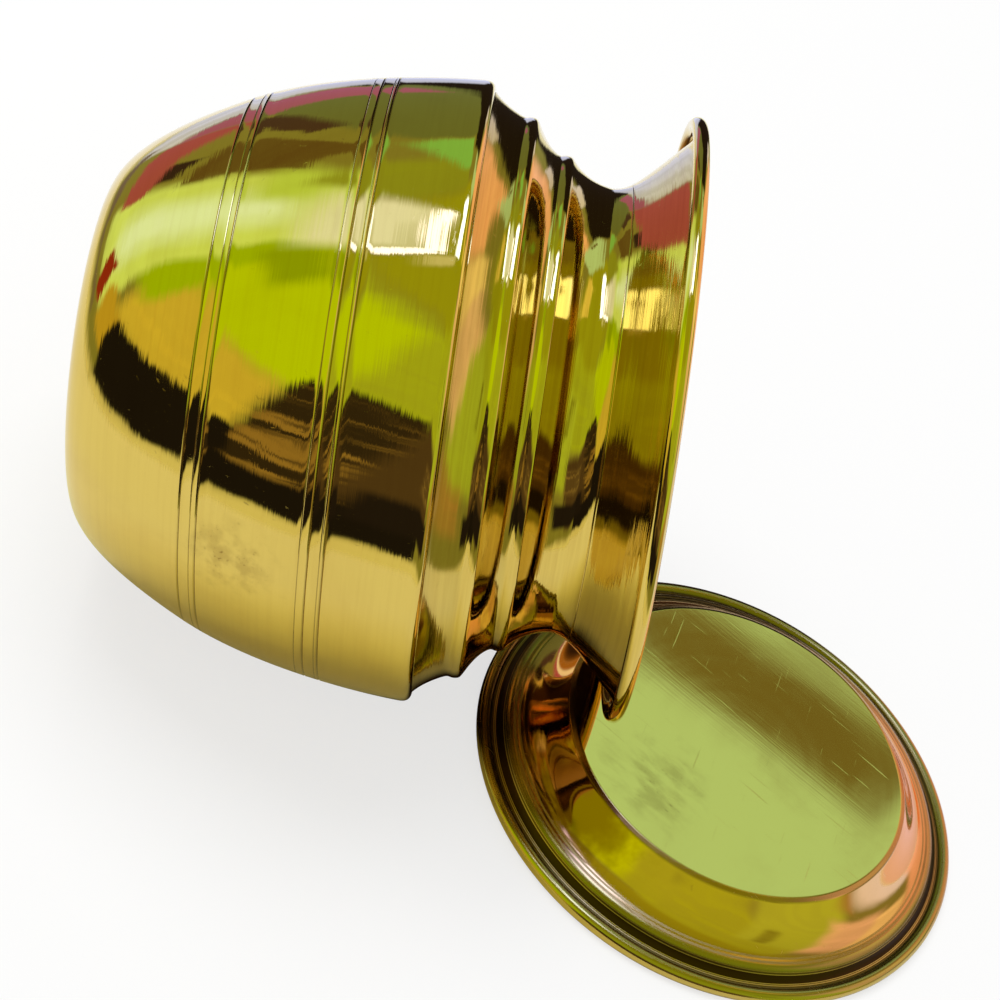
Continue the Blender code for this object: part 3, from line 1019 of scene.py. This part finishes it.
# %% [markdown]
# The table keeps the soft shadow of the lamp, and part of it glows for the camera alone, so that the
# paper-white ground of the photograph comes back without more light on the pot. Seen in the metal,
# the table ends a hand's width away and carries a few soft patches, which stand in for the shade and
# the colour that the pot and the lid lend to it.

# %% Make the table's white
TABLE_WHITE = (0.93, 0.93, 0.92, 1)
TABLE_MIDDLE = (-0.02, 0.03, 0)
TABLE_EDGE = (0.175, 0.195)
CAMERA_GLOW = 0.7
# middle of a patch, where it fades out, where it is full, and its colour in the mirror
TABLE_CASTS = {
    "warm_cast": ((-0.02, 0, 0), 0.095, 0.045, (0.95, 0.90, 0.45)),
    "neck_shade": ((0.022, 0.055, 0), 0.062, 0.042, (0.05, 0.025, 0.012)),
    "lip_shade": ((-0.008, 0.004, 0), 0.030, 0.018, (0.05, 0.025, 0.012)),
    "brown_cast": ((-0.035, 0.088, 0), 0.052, 0.012, (0.40, 0.18, 0.03)),
    "peach_cast": ((0.115, 0.005, 0), 0.05, 0.025, (0.98, 0.72, 0.85)),
}

pale = bpy.data.materials.new("table_white")
pale.use_nodes = True
tree = pale.node_tree
tree.nodes.clear()
spot = put(tree, "TexCoord", {}, {}).outputs["Object"]
path = put(tree, "LightPath", {}, {}).outputs
beyond = soft_step(tree, measure(tree, "DISTANCE", spot, TABLE_MIDDLE), *TABLE_EDGE)
lent = TABLE_WHITE
for middle, outer, inner, colour in TABLE_CASTS.values():
    cast = soft_step(tree, measure(tree, "DISTANCE", spot, middle), outer, inner)
    lent = blend(tree, share_of(tree, cast, path["Is Glossy Ray"]), lent, (*colour, 1))
cloth = put(tree, "BsdfDiffuse", {}, {"Color": lent}).outputs[0]
glow = put(tree, "Emission", {}, {"Color": WHITE, "Strength": 1.0}).outputs[0]
clear = put(tree, "BsdfTransparent", {}, {}).outputs[0]
glowing = share_of(tree, path["Is Camera Ray"], CAMERA_GLOW)
lit = put(tree, "MixShader", {}, {0: glowing, 1: cloth, 2: glow}).outputs[0]
past_edge = share_of(tree, beyond, path["Is Glossy Ray"])
ended = put(tree, "MixShader", {}, {0: past_edge, 1: lit, 2: clear}).outputs[0]
put(tree, "OutputMaterial", {}, {"Surface": ended})
table.data.materials.append(pale)
print("material", pale.name, len(TABLE_CASTS), "patches", len(tree.nodes), "nodes")

# %% [markdown]
# One large lamp overhead gives the soft shadow. A sun would draw a hard one. The metal doesn't
# mirror this lamp, because the cards already hold the lamp that the polish shows.

# %% Hang the lamp
LAMP_PLACE = (-0.35, 0.25, 1.3)
LAMP_SIZE = 0.9
LAMP_POWER = 12

lamp = bpy.data.objects.new("lamp", bpy.data.lights.new("lamp", "AREA"))
lamp.data.size = LAMP_SIZE
lamp.data.energy = LAMP_POWER
lamp.location = LAMP_PLACE
lamp.rotation_euler = (-Vector(LAMP_PLACE)).to_track_quat("-Z", "Y").to_euler()
lamp.visible_glossy = False
bpy.context.scene.collection.objects.link(lamp)
print("lamp", LAMP_SIZE, "m wide,", LAMP_POWER, "W")

# %% [markdown]
# Last come the colour settings. Standard shows a colour as it is written.

# %% Finish
bpy.context.scene.view_settings.view_transform = "Standard"
